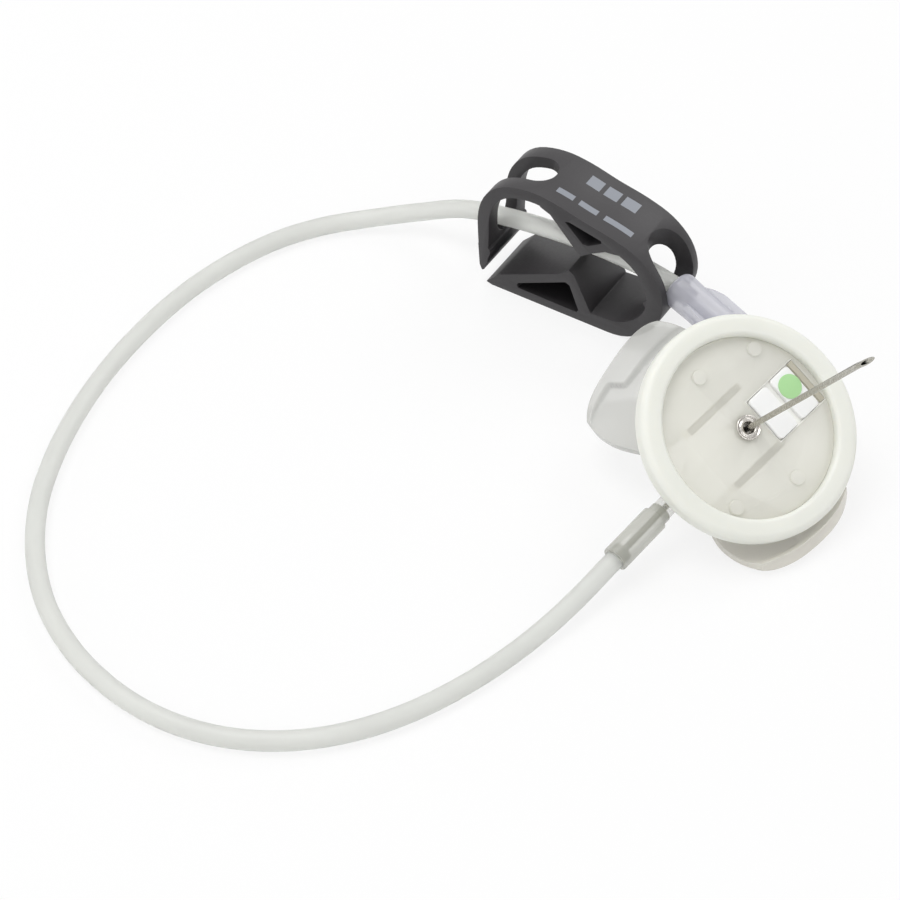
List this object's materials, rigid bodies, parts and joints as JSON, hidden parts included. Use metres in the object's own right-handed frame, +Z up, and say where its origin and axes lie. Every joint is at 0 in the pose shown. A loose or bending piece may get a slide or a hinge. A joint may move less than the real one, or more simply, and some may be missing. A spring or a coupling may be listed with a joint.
{
  "type": "huber needle",
  "caption": "Safety Huber needle set: bent non-coring needle through a round skin base that slides down it, soft grip wings, looped tubing with a pinch clamp and a female luer.",
  "frame": {"origin": "on the needle axis, where it crosses the skin face of the base", "axes": "+Z up off the table that the set lies on, +X near the length of the pinch clamp, towards its hinge bend"},
  "size_m": [0.0973, 0.0942, 0.0408],
  "materials": {
    "steel": "drawn stainless tube, satin",
    "clear_hard": "clear moulded plastic, glossy",
    "clear_soft": "clear soft vinyl, glossy",
    "tubing": "frosted translucent tubing",
    "clamp": "dark grey moulded plastic, fine satin",
    "luer_clear": "clear moulded plastic with a faint lavender tint",
    "soft_ring": "soft off-white ring, satin",
    "white": "white label plates",
    "green": "light green dot",
    "tan": "tan bar"
  },
  "bodies": {
    "needle_set": {"needle_cannula": "steel", "needle_hub": "clear_hard", "left_wing": "clear_soft", "right_wing": "clear_soft", "connector_sleeve": "clear_soft", "extension_tube": "tubing", "pinch_clamp": "clamp", "luer_connector": "luer_clear"},
    "safety_base": {"base_ring": "soft_ring", "base_plate": "clear_hard", "needle_eyelet": "steel", "tip_clip": "steel", "window_plates": "white", "indicator_dot": "green", "window_bar": "tan"}
  },
  "joints": [
    {"name": "base_slide", "type": "slide", "parent": "needle_set", "child": "safety_base", "axis": [0.5369, -0.244, 0.8076], "range_m": [0, 0.0385]}
  ]
}
